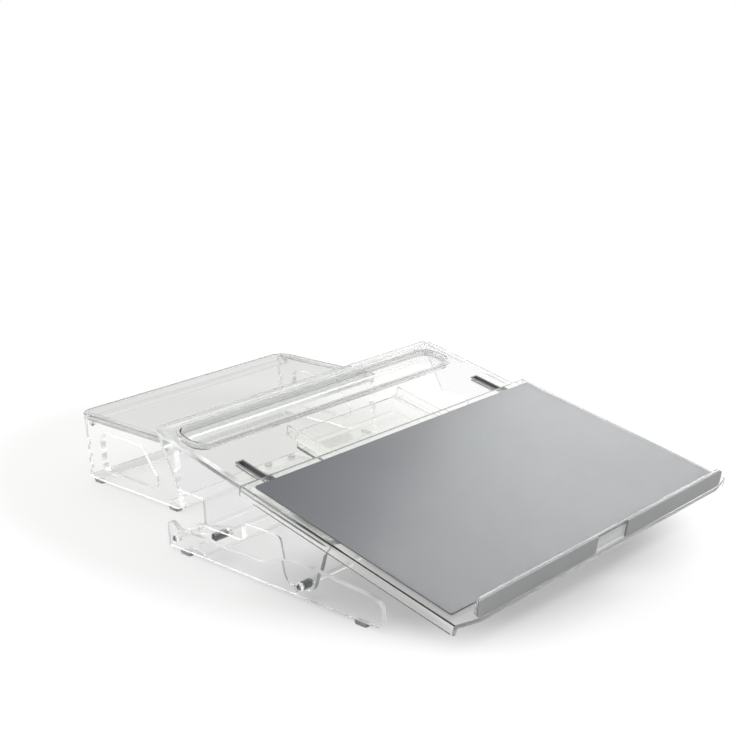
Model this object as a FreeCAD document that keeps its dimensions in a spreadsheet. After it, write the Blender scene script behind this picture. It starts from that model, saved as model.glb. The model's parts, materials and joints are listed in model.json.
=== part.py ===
"""Clear desk stand: sliding document board over a sloping deck, drawer below, monitor platform behind.

World frame: +X to the user's right, +Y away from the user, +Z up from the table, millimetres.
The slope frame (s, n) starts at the front edge of the writing pad: s runs back and up along the
board, n is square to it and is zero at the pad's top surface.
"""
import FreeCAD, Part
import Sketcher
import math
import os

doc = FreeCAD.newDocument("document_stand")

# ---------------------------------------------------------------- driving dimensions
SIZES = [
    # writing board and deck slope
    ("tilt", 13.0),
    ("pad_front_height", 42.0),
    ("pad_width", 468.0),
    ("pad_length", 290.0),
    ("pad_thickness", 2.0),
    ("board_side_margin", 10.5),
    ("board_front_margin", 20.0),
    ("board_rear_margin", 12.0),
    ("board_sheet", 5.0),
    ("board_flange_depth", 12.0),
    ("board_corner", 4.0),
    ("board_relief_run", 32.0),
    ("board_relief_depth", 8.0),
    # document lip
    ("lip_length", 436.0),
    ("lip_height", 21.0),
    ("lip_setback", 1.0),
    ("lip_strip_sheet", 2.5),
    ("lip_ledge_sheet", 3.0),
    ("lip_gap", 54.0),
    ("lip_corner", 5.0),
    # deck
    ("deck_drop", 3.0),
    ("deck_sheet", 5.0),
    ("deck_side_gap", 5.0),
    ("deck_front", 165.0),
    ("deck_length", 307.0),
    ("deck_corner", 14.0),
    ("slot_spacing", 403.0),
    ("slot_width", 10.0),
    ("slot_front_margin", 25.0),
    ("slot_length", 163.0),
    ("channel_wall", 1.4),
    ("channel_depth", 7.0),
    ("channel_rim", 1.0),
    ("keel_front_gap", 42.0),
    ("keel_length", 62.0),
    ("glide_radius", 10.0),
    ("glide_inset", 34.0),
    ("glide_front_margin", 35.0),
    # pen tray in the deck
    ("tray_width", 436.0),
    ("tray_length", 52.0),
    ("tray_rear_margin", 17.0),
    ("tray_depth", 12.0),
    ("tray_wall", 2.0),
    ("tray_flange", 4.0),
    ("tray_corner", 20.0),
    # deck sides and hinge
    ("side_sheet", 6.0),
    ("side_setback", 4.0),
    ("rib_height", 20.0),
    ("rib_sheet", 8.0),
    ("hinge_setback", 38.85),
    ("hinge_height", 17.0),
    ("leg_front_run", 4.0),
    ("leg_rear_run", 40.0),
    ("leg_lean", 8.0),
    ("leg_drop", 11.0),
    ("leg_corner", 12.0),
    ("leg_top_setback", 16.85),
    ("side_belly", 55.0),
    ("lug_front_run", 45.0),
    ("lug_rear_run", 22.0),
    ("side_tail_lean", 31.4),
    ("side_tail_height", 67.0),
    # base
    ("base_gap", 10.0),
    ("base_nose_run", 120.0),
    ("base_tail_margin", 16.0),
    ("base_nose_height", 32.0),
    ("base_shoulder_height", 42.0),
    ("base_shoulder_run", 20.0),
    ("base_waist_height", 28.0),
    ("base_waist_run", 40.0),
    ("base_tail_height", 42.0),
    ("base_tail_run", 21.0),
    ("base_corner", 8.0),
    ("foot_height", 4.0),
    ("foot_width", 10.0),
    ("foot_length", 18.0),
    ("foot_inset", 22.0),
    ("rod_radius", 3.0),
    ("cap_radius", 5.0),
    ("cap_length", 5.0),
    ("washer_wall", 2.0),
    ("spacer_wall", 2.0),
    ("rail_sheet", 5.0),
    ("rail_depth", 30.0),
    ("rail_prop_gap", 18.0),
    # prop that holds the deck's rear up
    ("prop_tail_gap", 12.0),
    ("prop_run", 56.0),
    ("prop_rise", 11.0),
    ("prop_width", 12.0),
    ("prop_sheet", 6.0),
    ("prop_rod_radius", 3.0),
    ("sleeve_wall", 2.0),
    # drawer
    ("drawer_width", 172.0),
    ("drawer_length", 195.0),
    ("drawer_setback", 25.0),
    ("drawer_height", 23.0),
    ("drawer_wall", 2.5),
    ("drawer_flange", 7.0),
    ("drawer_corner", 5.0),
    ("drawer_face", 3.0),
    ("drawer_face_height", 30.0),
    ("runner_drop", 10.0),
    ("runner_wall", 3.0),
    ("pull_radius", 7.0),
    ("pull_length", 9.0),
    # monitor platform
    ("platform_width", 356.0),
    ("platform_gap", 37.0),
    ("platform_depth", 213.0),
    ("platform_height", 95.0),
    ("platform_sheet", 6.0),
    ("platform_corner", 22.0),
    ("frame_sheet", 8.0),
    ("frame_inset_x", 6.0),
    ("frame_inset_y", 8.0),
    ("frame_leg", 32.0),
    ("frame_sill", 16.0),
    ("frame_slant", 44.0),
    ("frame_corner", 12.0),
    ("frame_notch_radius", 4.5),
    ("frame_notch_pitch", 17.0),
    ("platform_rod_radius", 5.0),
    ("platform_rod_inset", 16.0),
    ("link_width", 80.0),
    ("link_sheet", 4.0),
    ("link_lap", 22.0),
    ("screw_head_radius", 5.0),
    ("screw_head_height", 2.5),
    # clearances
    ("fit", 0.05),
    ("slip", 0.3),
]

sheet = doc.addObject("Spreadsheet::Sheet", "dim")
for row, (alias, size) in enumerate(SIZES, start=1):
    sheet.set("A%d" % row, alias)
    sheet.set("B%d" % row, str(size))
    sheet.setAlias("B%d" % row, alias)
doc.recompute()


def dims(expression):
    """Spell out the sheet's name before each alias in an expression."""
    words = []
    word = ""
    for letter in expression + " ":
        if letter.isalpha() or letter == "_":
            word += letter
            continue
        words.append("dim." + word if word in ALIASES else word)
        words.append(letter)
        word = ""
    return "".join(words).strip()


ALIASES = {alias for alias, size in SIZES}


def value(expression):
    """The number that an expression of the sheet's sizes gives."""
    return float(sheet.evalExpression(dims(expression)))


# ---------------------------------------------------------------- shared places, as expressions
def slope_y(s, n):
    return "((%s) * cos(tilt) - (%s) * sin(tilt))" % (s, n)


def slope_z(s, n):
    return "(pad_front_height + (%s) * sin(tilt) + (%s) * cos(tilt))" % (s, n)


BOARD_TOP = "(0 - pad_thickness)"
BOARD_UNDER = "(%s - board_sheet)" % BOARD_TOP
DECK_TOP = "(%s - deck_drop)" % BOARD_UNDER
DECK_UNDER = "(%s - deck_sheet)" % DECK_TOP
BOARD_HALF = "(pad_width / 2 + board_side_margin)"
BOARD_LENGTH = "(board_front_margin + pad_length + board_rear_margin)"
DECK_HALF = "(%s - board_sheet - deck_side_gap)" % BOARD_HALF
SIDE_OUTER = "(%s - side_setback)" % DECK_HALF
BASE_INNER = "(%s + base_gap)" % SIDE_OUTER
BASE_OUTER = "(%s + side_sheet)" % BASE_INNER
LIP_FRONT = "(lip_setback - board_front_margin)"
LIP_TOP = "(%s + lip_height)" % BOARD_TOP
FRONT_REACH = slope_y(LIP_FRONT, LIP_TOP)
DECK_REAR = "(deck_front + deck_length)"
TRAY_FRONT = "(%s - tray_rear_margin - tray_length)" % DECK_REAR
SLOT_FRONT = "(deck_front + slot_front_margin)"
SLOT_REAR = "(%s + slot_length)" % SLOT_FRONT
DRAWER_FRONT = "(deck_front + drawer_setback)"
HINGE_BACK = "(%s + hinge_setback)" % slope_y("deck_front", DECK_UNDER)
SIDE_REAR_TOP = "(%s - side_setback)" % DECK_REAR
SIDE_TAIL_BACK = "(%s - side_tail_lean)" % slope_y(SIDE_REAR_TOP, DECK_UNDER)
PROP_BACK = "(%s - prop_tail_gap)" % SIDE_TAIL_BACK
BASE_FRONT = "(%s - base_nose_run)" % HINGE_BACK
BASE_REAR = "(%s + base_tail_margin)" % PROP_BACK
BASE_RAIL_BACK = "(%s - rail_prop_gap - rail_depth)" % PROP_BACK
PLATFORM_FRONT = "(%s + platform_gap)" % slope_y(DECK_REAR, DECK_TOP)
PLATFORM_REAR = "(%s + platform_depth)" % PLATFORM_FRONT
CENTRE_Y = "((%s + %s) / 2)" % (FRONT_REACH, PLATFORM_REAR)
PROP_TIP_BACK = "(%s - prop_run)" % PROP_BACK
PROP_TIP_HEIGHT = "(hinge_height + prop_rise)"
SLEEVE_RADIUS = "(prop_rod_radius + sleeve_wall)"
FRAME_OUTER = "(platform_width / 2 - frame_inset_x)"
FRAME_FRONT = "(%s + frame_inset_y)" % PLATFORM_FRONT
FRAME_REAR = "(%s - frame_inset_y)" % PLATFORM_REAR
FRAME_TOP = "(platform_height - platform_sheet)"
RAIL_TOP = "(foot_height + rail_sheet)"


# ---------------------------------------------------------------- building helpers
def bind(thing, prop, expression):
    thing.setExpression(prop, dims(expression))


def place(thing, x="0", y="0", z="0"):
    """Put a piece at a world place; y is measured from the pad's front edge."""
    bind(thing, "Placement.Base.x", x)
    bind(thing, "Placement.Base.y", "%s - %s" % (y, CENTRE_Y))
    bind(thing, "Placement.Base.z", z)


def place_on_slope(thing, x="0", s="0", n="0"):
    """Put a piece at a place of the slope frame and lean it with the slope."""
    thing.Placement = FreeCAD.Placement(FreeCAD.Vector(), FreeCAD.Rotation(FreeCAD.Vector(1, 0, 0), 1))
    place(thing, x, slope_y(s, n), slope_z(s, n))
    bind(thing, "Placement.Rotation.Angle", "tilt")


def new_body(label):
    body = doc.addObject("PartDesign::Body", label)
    body.Label = label
    return body


def sketch_on(body, role, name):
    sketch = body.newObject("Sketcher::SketchObject", body.Name + "_" + name)
    plane = [item for item in body.Origin.OriginFeatures if item.Role == role][0]
    sketch.AttachmentSupport = (plane, "")
    sketch.MapMode = "FlatFace"
    return sketch


def draw_outline(sketch, points):
    """Draw a closed outline whose corners are held at expressions (across, up)."""
    first = sketch.GeometryCount
    places = [(value(across), value(up)) for across, up in points]
    count = len(points)
    for here in range(count):
        start = FreeCAD.Vector(places[here][0], places[here][1], 0)
        end = FreeCAD.Vector(places[(here + 1) % count][0], places[(here + 1) % count][1], 0)
        sketch.addGeometry(Part.LineSegment(start, end))
    for here in range(count):
        following = (here + 1) % count
        sketch.addConstraint(Sketcher.Constraint("Coincident", first + here, 2, first + following, 1))
    for here, (across, up) in enumerate(points):
        hold_point(sketch, first + here, 1, across, up)


def hold_point(sketch, geometry, end, across, up):
    for kind, expression in (("DistanceX", across), ("DistanceY", up)):
        index = sketch.addConstraint(Sketcher.Constraint(kind, -1, 1, geometry, end, value(expression)))
        bind(sketch, "Constraints[%d]" % index, expression)


def draw_circle(sketch, across, up, radius):
    centre = FreeCAD.Vector(value(across), value(up), 0)
    circle = sketch.addGeometry(Part.Circle(centre, FreeCAD.Vector(0, 0, 1), value(radius)))
    hold_point(sketch, circle, 3, across, up)
    index = sketch.addConstraint(Sketcher.Constraint("Radius", circle, value(radius)))
    bind(sketch, "Constraints[%d]" % index, radius)


def draw_round_box(sketch, low_x, low_y, high_x, high_y, radius):
    """Draw a rectangle whose corners are quarter circles of one radius."""
    left, right = "(%s + %s)" % (low_x, radius), "(%s - %s)" % (high_x, radius)
    near, far = "(%s + %s)" % (low_y, radius), "(%s - %s)" % (high_y, radius)
    ends = [(left, low_y), (right, low_y), (high_x, near), (high_x, far),
            (right, high_y), (left, high_y), (low_x, far), (low_x, near)]
    centres = [(right, near), (right, far), (left, far), (left, near)]
    lines = []
    for side in range(4):
        start, end = ends[2 * side], ends[2 * side + 1]
        spots = [FreeCAD.Vector(value(across), value(up), 0) for across, up in (start, end)]
        lines.append(sketch.addGeometry(Part.LineSegment(*spots)))
        hold_point(sketch, lines[-1], 1, *start)
        hold_point(sketch, lines[-1], 2, *end)
    for side in range(4):
        centre = FreeCAD.Vector(value(centres[side][0]), value(centres[side][1]), 0)
        circle = Part.Circle(centre, FreeCAD.Vector(0, 0, 1), value(radius))
        turn = math.pi / 2
        arc = sketch.addGeometry(Part.ArcOfCircle(circle, (side - 1) * turn, side * turn))
        sketch.addConstraint(Sketcher.Constraint("Coincident", arc, 1, lines[side], 2))
        sketch.addConstraint(Sketcher.Constraint("Coincident", arc, 2, lines[(side + 1) % 4], 1))
        index = sketch.addConstraint(Sketcher.Constraint("Radius", arc, value(radius)))
        bind(sketch, "Constraints[%d]" % index, radius)


def pad(body, sketch, length):
    feature = body.newObject("PartDesign::Pad", sketch.Name + "_pad")
    feature.Profile = sketch
    bind(feature, "Length", length)
    sketch.Visibility = False
    doc.recompute()
    return feature


def pocket(body, sketch, depth):
    """Cut a sketch's outline into the solid, the way its pad was raised."""
    before = body.Shape.Volume
    feature = body.newObject("PartDesign::Pocket", sketch.Name + "_pocket")
    feature.Profile = sketch
    bind(feature, "Length", depth)
    feature.Reversed = True
    sketch.Visibility = False
    doc.recompute()
    assert body.Shape.Volume < before - 0.01, "%s cuts nothing" % feature.Name
    return feature


def round_edges(body, picked, radius, name):
    """Round the edges that picked(edge) chooses on the body's last feature."""
    feature = body.Tip
    edges = ["Edge%d" % (index + 1) for index, edge in enumerate(feature.Shape.Edges) if picked(edge)]
    fillet = body.newObject("PartDesign::Fillet", body.Name + "_" + name)
    fillet.Base = (feature, edges)
    bind(fillet, "Radius", radius)
    doc.recompute()
    return fillet


def along(axis, edge):
    """Whether an edge is straight and runs along an axis of the body's own frame."""
    if not isinstance(edge.Curve, Part.Line):
        return False
    return abs(edge.tangentAt(edge.FirstParameter).dot(axis)) > 0.999


X_AXIS = FreeCAD.Vector(1, 0, 0)
Y_AXIS = FreeCAD.Vector(0, 1, 0)
Z_AXIS = FreeCAD.Vector(0, 0, 1)


def at_corner(edge, axis, corners):
    """Whether an edge along axis passes through one of the corners, given in the other two axes."""
    middle = edge.valueAt((edge.FirstParameter + edge.LastParameter) / 2)
    flat = (middle.y, middle.z) if axis == X_AXIS else (middle.x, middle.y)
    return any(abs(flat[0] - a) < 0.01 and abs(flat[1] - b) < 0.01 for a, b in corners)


def box_points(low_x, low_y, high_x, high_y):
    return [(low_x, low_y), (high_x, low_y), (high_x, high_y), (low_x, high_y)]


def flat_sheet(label, low_x, low_y, high_x, high_y, thickness, corner=None):
    """A flat sheet with rounded corners, standing on its own XY plane."""
    body = new_body(label)
    sketch = sketch_on(body, "XY_Plane", "outline")
    draw_outline(sketch, box_points(low_x, low_y, high_x, high_y))
    pad(body, sketch, thickness)
    if corner:
        round_edges(body, lambda edge: along(Z_AXIS, edge), corner, "corners")
    return body


def side_sheet_body(label, outline, thickness, rounding):
    """A sheet that stands on edge, drawn in the YZ plane; rounding lists (corner numbers, radius)."""
    body = new_body(label)
    sketch = sketch_on(body, "YZ_Plane", "outline")
    draw_outline(sketch, outline)
    pad(body, sketch, thickness)
    for number, (corners, radius) in enumerate(rounding):
        spots = [(value(outline[corner][0]), value(outline[corner][1])) for corner in corners]
        round_edges(body, lambda edge: along(X_AXIS, edge) and at_corner(edge, X_AXIS, spots),
                    radius, "rounding%d" % number)
    return body


def cylinder_x(label, radius, length, x, y, z):
    """A round bar that runs along X from x."""
    bar = doc.addObject("Part::Cylinder", label)
    bar.Label = label
    bar.Placement = FreeCAD.Placement(FreeCAD.Vector(), FreeCAD.Rotation(Y_AXIS, 90))
    bind(bar, "Radius", radius)
    bind(bar, "Height", length)
    place(bar, x, y, z)
    return bar


def tube_x(label, outer, inner, length, x, y, z):
    """A ring or sleeve on a bar that runs along X."""
    skin = cylinder_x(label + "_outer", outer, length, x, y, z)
    bore = cylinder_x(label + "_bore", inner, length, x, y, z)
    tube = doc.addObject("Part::Cut", label)
    tube.Label = label
    tube.Base = skin
    tube.Tool = bore
    return tube


def block(label, length, width, height):
    box = doc.addObject("Part::Box", label)
    box.Label = label
    bind(box, "Length", length)
    bind(box, "Width", width)
    bind(box, "Height", height)
    return box


def group(label, pieces):
    """Separate like pieces that share one node."""
    bundle = doc.addObject("Part::Compound", label)
    bundle.Label = label
    bundle.Links = pieces
    return bundle


NODES = []


def keep(piece):
    NODES.append(piece)
    return piece


SIDES = (("left", "-1"), ("right", "1"))


def low_edge(side, inner, thickness):
    """The lower X of a sheet that lies between inner and inner + thickness from the middle."""
    return "(0 - (%s) - (%s))" % (inner, thickness) if side == "left" else "(%s)" % inner


# ---------------------------------------------------------------- sliding board
def make_board():
    """Clear sheet whose two long sides are bent down over the deck's edges."""
    body = new_body("board_sheet")
    sketch = sketch_on(body, "XY_Plane", "outline")
    draw_outline(sketch, box_points("0 - " + BOARD_HALF, "0", BOARD_HALF, BOARD_LENGTH))
    pad(body, sketch, "board_flange_depth")
    hollow = sketch_on(body, "XY_Plane", "hollow")
    inner = "(%s - board_sheet)" % BOARD_HALF
    draw_outline(hollow, box_points("0 - " + inner, "0 - 1", inner, BOARD_LENGTH + " + 1"))
    pocket(body, hollow, "board_flange_depth - board_sheet")
    relief = sketch_on(body, "XY_Plane", "front_relief")
    for sign in ("1", "-1"):
        draw_outline(relief, [("%s * (%s - board_relief_run)" % (sign, BOARD_HALF), "0"),
                              ("%s * %s" % (sign, BOARD_HALF), "board_relief_depth"),
                              ("%s * (%s + 1)" % (sign, BOARD_HALF), "board_relief_depth"),
                              ("%s * (%s + 1)" % (sign, BOARD_HALF), "0 - 1"),
                              ("%s * (%s - board_relief_run)" % (sign, BOARD_HALF), "0 - 1")])
    pocket(body, relief, "board_flange_depth")
    top = value("board_flange_depth")
    half = value(BOARD_HALF)

    def bend(edge):
        middle = edge.valueAt((edge.FirstParameter + edge.LastParameter) / 2)
        return along(Y_AXIS, edge) and abs(abs(middle.x) - half) < 0.01 and abs(middle.z - top) < 0.01

    round_edges(body, bend, "board_corner", "bends")
    place_on_slope(body, s="0 - board_front_margin", n="%s - board_flange_depth" % BOARD_TOP)
    return keep(body)


def make_pad():
    """Grey non-slip pad that covers the board inside its clear border."""
    half = "pad_width / 2"
    body = flat_sheet("writing_pad", "0 - " + half, "0", half, "pad_length", "pad_thickness")
    place_on_slope(body, n="0 - pad_thickness")
    return keep(body)


def upright_strip(label, low_x, high_x, thickness, corner_ends):
    """A strip that stands square on the board, with its corners rounded at the ends named."""
    body = new_body(label)
    sketch = sketch_on(body, "XZ_Plane", "outline")
    draw_outline(sketch, box_points(low_x, "0", high_x, "lip_height"))
    feature = pad(body, sketch, thickness)
    feature.Reversed = True
    doc.recompute()
    ends = [value(end) for end in corner_ends]

    def outer_corner(edge):
        middle = edge.valueAt((edge.FirstParameter + edge.LastParameter) / 2)
        return along(Y_AXIS, edge) and any(abs(middle.x - end) < 0.01 for end in ends)

    round_edges(body, outer_corner, "lip_corner", "corners")
    return body


def make_lip():
    """Clear ledge across the board's front edge, faced with two grey strips and a clear gap."""
    half = "lip_length / 2"
    ledge = upright_strip("lip_ledge", "0 - " + half, half, "lip_ledge_sheet", ("0 - " + half, half))
    place_on_slope(ledge, s=LIP_FRONT + " + lip_strip_sheet", n=BOARD_TOP)
    keep(ledge)
    gap = "lip_gap / 2"
    left = upright_strip("lip_strip_left", "0 - " + half, "0 - " + gap, "lip_strip_sheet", ("0 - " + half,))
    right = upright_strip("lip_strip_right", gap, half, "lip_strip_sheet", (half,))
    for strip in (left, right):
        place_on_slope(strip, s=LIP_FRONT, n=BOARD_TOP)
        keep(strip)


def make_glides():
    """Keels that run in the deck's channels, and round pads that carry the board on the deck."""
    keel_width = "(slot_width - 2 * channel_wall - 2 * slip)"
    keel_height = "(deck_drop + channel_depth - channel_wall - slip)"
    keel_front = "(%s + keel_front_gap)" % SLOT_FRONT
    for side, sign in SIDES:
        keel = block("keel_" + side, keel_width, "keel_length", keel_height)
        x = "%s * slot_spacing / 2 - %s / 2" % (sign, keel_width)
        place_on_slope(keel, x, keel_front, "%s - %s" % (BOARD_UNDER, keel_height))
        keep(keel)
    discs = []
    reach = "(slot_spacing / 2 - glide_inset)"
    for side, sign in SIDES:
        for end, s in (("front", "(deck_front + glide_front_margin)"),
                       ("rear", "(pad_length - glide_radius)")):
            disc = doc.addObject("Part::Cylinder", "glide_%s_%s" % (end, side))
            bind(disc, "Radius", "glide_radius")
            bind(disc, "Height", "deck_drop - fit")
            place_on_slope(disc, "%s * %s" % (sign, reach), s, "%s + fit" % DECK_TOP)
            discs.append(disc)
    keep(group("glide_pads", discs))


# ---------------------------------------------------------------- deck
def make_deck():
    """Clear sloping sheet with two guide slots and an opening for the pen tray."""
    body = flat_sheet("deck_sheet", "0 - " + DECK_HALF, "deck_front", DECK_HALF, DECK_REAR,
                      "deck_sheet", "deck_corner")
    cuts = sketch_on(body, "XY_Plane", "slots")
    for side, sign in SIDES:
        middle = "%s * slot_spacing / 2" % sign
        draw_outline(cuts, box_points(middle + " - slot_width / 2", SLOT_FRONT,
                                      middle + " + slot_width / 2", SLOT_REAR))
    half = "tray_width / 2"
    draw_round_box(cuts, "0 - " + half, TRAY_FRONT, half, "(%s + tray_length)" % TRAY_FRONT, "tray_corner")
    pocket(body, cuts, "deck_sheet")
    place_on_slope(body, n=DECK_UNDER)
    return keep(body)


def make_channels():
    """Dark channels that line the guide slots, each with a thin rim on the deck."""
    for side, sign in SIDES:
        body = new_body("slot_channel_" + side)
        half = "(slot_width / 2 - fit)"
        outline = sketch_on(body, "XY_Plane", "outline")
        draw_outline(outline, box_points("0 - " + half, SLOT_FRONT + " + fit", half, SLOT_REAR + " - fit"))
        pad(body, outline, "channel_depth")
        rim_half = "(slot_width / 2 + channel_rim)"
        rim = sketch_on(body, "XY_Plane", "rim")
        bind(rim, "AttachmentOffset.Base.z", "channel_depth")
        draw_outline(rim, box_points("0 - " + rim_half, SLOT_FRONT + " - channel_rim",
                                     rim_half, SLOT_REAR + " + channel_rim"))
        pad(body, rim, "channel_rim")
        groove = sketch_on(body, "XY_Plane", "groove")
        bind(groove, "AttachmentOffset.Base.z", "channel_wall")
        inner = "(slot_width / 2 - channel_wall)"
        draw_outline(groove, box_points("0 - " + inner, SLOT_FRONT + " + channel_wall",
                                        inner, SLOT_REAR + " - channel_wall"))
        pocket(body, groove, "channel_depth + channel_rim")
        place_on_slope(body, "%s * slot_spacing / 2" % sign, n="%s - channel_depth" % DECK_TOP)
        keep(body)


def make_pen_tray():
    """Shallow clear tray that hangs by its flange in the deck's opening."""
    body = new_body("pen_tray")
    half = "(tray_width / 2 - slip)"
    front = "(%s + slip)" % TRAY_FRONT
    rear = "(%s + tray_length - slip)" % TRAY_FRONT
    trough = sketch_on(body, "XY_Plane", "trough")
    draw_round_box(trough, "(0 - %s)" % half, front, half, rear, "(tray_corner - slip)")
    pad(body, trough, "tray_depth")
    flange = sketch_on(body, "XY_Plane", "flange")
    bind(flange, "AttachmentOffset.Base.z", "tray_depth")
    draw_round_box(flange, "(0 - %s - tray_flange)" % half, "(%s - tray_flange)" % front,
                   "(%s + tray_flange)" % half, "(%s + tray_flange)" % rear, "(tray_corner + tray_flange)")
    pad(body, flange, "tray_wall / 2")
    well = sketch_on(body, "XY_Plane", "well")
    bind(well, "AttachmentOffset.Base.z", "tray_wall")
    draw_round_box(well, "(0 - %s + tray_wall)" % half, "(%s + tray_wall)" % front,
                   "(%s - tray_wall)" % half, "(%s - tray_wall)" % rear, "(tray_corner - slip - tray_wall)")
    pocket(body, well, "tray_depth")
    place_on_slope(body, n="%s - tray_depth" % DECK_TOP)
    return keep(body)


def make_deck_sides():
    """Clear sides below the deck: a leg with the hinge eye in front, a lug on the prop behind."""
    leg_rear = "(%s + leg_rear_run)" % HINGE_BACK
    leg_foot = "(hinge_height - leg_drop)"
    lug_front = "(%s - lug_front_run)" % PROP_TIP_BACK
    lug_rear = "(%s + lug_rear_run)" % PROP_TIP_BACK
    seat = "(%s + %s + slip)" % (PROP_TIP_HEIGHT, SLEEVE_RADIUS)
    front_s = "(deck_front + side_setback)"
    outline = [
        (HINGE_BACK + " - leg_front_run", leg_foot),
        (leg_rear, leg_foot),
        (leg_rear + " + leg_lean", "side_belly"),
        (lug_front, "side_belly"),
        (lug_front, seat),
        (lug_rear, seat),
        (lug_rear, "side_tail_height"),
        (SIDE_TAIL_BACK, "side_tail_height"),
        (slope_y(SIDE_REAR_TOP, DECK_UNDER), slope_z(SIDE_REAR_TOP, DECK_UNDER)),
        (slope_y(front_s, DECK_UNDER), slope_z(front_s, DECK_UNDER)),
        (slope_y("deck_front", DECK_UNDER) + " + leg_top_setback",
         slope_z("deck_front", DECK_UNDER) + " - side_sheet * 2"),
    ]
    for side, sign in SIDES:
        rounding = [((0, 1), "leg_corner"), ((2, 3, 4, 5, 6, 7, 10), "side_sheet")]
        body = side_sheet_body("deck_side_" + side, outline, "side_sheet", rounding)
        eye = sketch_on(body, "YZ_Plane", "eye")
        draw_circle(eye, HINGE_BACK, "hinge_height", "rod_radius + fit")
        pocket(body, eye, "side_sheet")
        place(body, low_edge(side, "%s - side_sheet" % SIDE_OUTER, "side_sheet"))
        keep(body)


def make_deck_rib():
    """Clear bar that ties the two deck sides together under the deck's rear edge."""
    half = "(%s - side_sheet)" % SIDE_OUTER
    rib = block("deck_rear_rib", "2 * " + half, "rib_sheet", "rib_height")
    place_on_slope(rib, "0 - " + half, SIDE_REAR_TOP + " - rib_sheet", "%s - rib_height" % DECK_UNDER)
    keep(rib)


def make_runners():
    """Angle runners under the deck that the drawer's flanges slide on."""
    for side, sign in SIDES:
        body = new_body("drawer_runner_" + side)
        sketch = sketch_on(body, "XZ_Plane", "profile")
        outer = "(drawer_width / 2 + drawer_flange + slip + runner_wall)"
        web = "(%s - runner_wall)" % outer
        tip = "(drawer_width / 2 + slip)"
        points = [(tip, "0"), (outer, "0"), (outer, "runner_drop + runner_wall"),
                  (web, "runner_drop + runner_wall"), (web, "runner_wall"), (tip, "runner_wall")]
        if side == "left":
            points = [("0 - " + across, up) for across, up in reversed(points)]
        draw_outline(sketch, points)
        feature = pad(body, sketch, "drawer_length")
        feature.Reversed = True
        doc.recompute()
        place_on_slope(body, s=DRAWER_FRONT + " + side_sheet",
                       n="%s - runner_drop - runner_wall" % DECK_UNDER)
        keep(body)


# ---------------------------------------------------------------- drawer
def make_drawer():
    """Shallow clear drawer: a tray with side flanges, a face and a round pull."""
    flange_under = "(%s - runner_drop + slip)" % DECK_UNDER
    flange_thickness = "(drawer_wall + slip)"
    rim = "(%s + %s)" % (flange_under, flange_thickness)
    half = "drawer_width / 2"
    tray = new_body("drawer_tray")
    outline = sketch_on(tray, "XY_Plane", "outline")
    draw_outline(outline, box_points("0 - " + half, "0", half, "drawer_length"))
    pad(tray, outline, "drawer_height")
    round_edges(tray, lambda edge: along(Z_AXIS, edge) and edge.CenterOfMass.y > 1,
                "drawer_corner", "corners")
    flange = sketch_on(tray, "XY_Plane", "flange")
    bind(flange, "AttachmentOffset.Base.z", "drawer_height - %s" % flange_thickness)
    draw_outline(flange, box_points("0 - %s - drawer_flange" % half, "0",
                                    half + " + drawer_flange", "drawer_length - drawer_corner"))
    pad(tray, flange, flange_thickness)
    well = sketch_on(tray, "XY_Plane", "well")
    bind(well, "AttachmentOffset.Base.z", "drawer_wall")
    draw_outline(well, box_points("0 - %s + drawer_wall" % half, "drawer_wall",
                                  half + " - drawer_wall", "drawer_length - drawer_wall"))
    pocket(tray, well, "drawer_height")
    well_half = value(half + " - drawer_wall")
    spots = [(sign * well_half, value("drawer_length - drawer_wall")) for sign in (-1, 1)]
    round_edges(tray, lambda edge: along(Z_AXIS, edge) and at_corner(edge, Z_AXIS, spots),
                "drawer_corner - drawer_wall / 2", "well_corners")
    place_on_slope(tray, s=DRAWER_FRONT, n="%s - drawer_height" % rim)
    keep(tray)
    face_half = "(drawer_width / 2 + drawer_flange + slip + runner_wall)"
    face_low = "(%s - drawer_height - drawer_wall)" % rim
    face = new_body("drawer_face")
    front = sketch_on(face, "XZ_Plane", "outline")
    draw_outline(front, box_points("0 - " + face_half, "0", face_half, "drawer_face_height"))
    pad(face, front, "drawer_face")
    round_edges(face, lambda edge: along(Y_AXIS, edge), "drawer_corner", "corners")
    place_on_slope(face, s=DRAWER_FRONT, n=face_low)
    keep(face)
    pull = new_body("drawer_pull")
    knob = sketch_on(pull, "XZ_Plane", "knob")
    draw_circle(knob, "0", "0", "pull_radius")
    pad(pull, knob, "pull_length")
    round_edges(pull, lambda edge: edge.CenterOfMass.y < value("0 - pull_length / 2") and edge.Closed,
                "pull_radius / 4", "rim")
    place_on_slope(pull, s=DRAWER_FRONT + " - drawer_face", n="%s + drawer_face_height / 2" % face_low)
    keep(pull)


# ---------------------------------------------------------------- base
def make_base_sides():
    """Clear low sides that stand on the table and hold both rods."""
    shoulder_rear = "(%s + base_shoulder_run)" % HINGE_BACK
    outline = [
        (BASE_FRONT, "foot_height"),
        (BASE_REAR, "foot_height"),
        (BASE_REAR, "base_tail_height"),
        (BASE_REAR + " - base_tail_run", "base_waist_height"),
        (shoulder_rear + " + base_waist_run", "base_waist_height"),
        (shoulder_rear, "base_shoulder_height"),
        (HINGE_BACK + " - base_shoulder_run", "base_shoulder_height"),
        (BASE_FRONT + " + base_corner * 2", "base_nose_height + base_corner / 2"),
        (BASE_FRONT, "base_nose_height"),
    ]
    for side, sign in SIDES:
        body = side_sheet_body("base_side_" + side, outline, "side_sheet",
                               [((0, 2, 4, 5, 6), "base_corner"), ((8,), "base_corner")])
        holes = sketch_on(body, "YZ_Plane", "rod_holes")
        draw_circle(holes, HINGE_BACK, "hinge_height", "rod_radius + fit")
        draw_circle(holes, PROP_BACK, "hinge_height", "rod_radius + fit")
        pocket(body, holes, "side_sheet")
        place(body, low_edge(side, BASE_INNER, "side_sheet"))
        keep(body)


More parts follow.
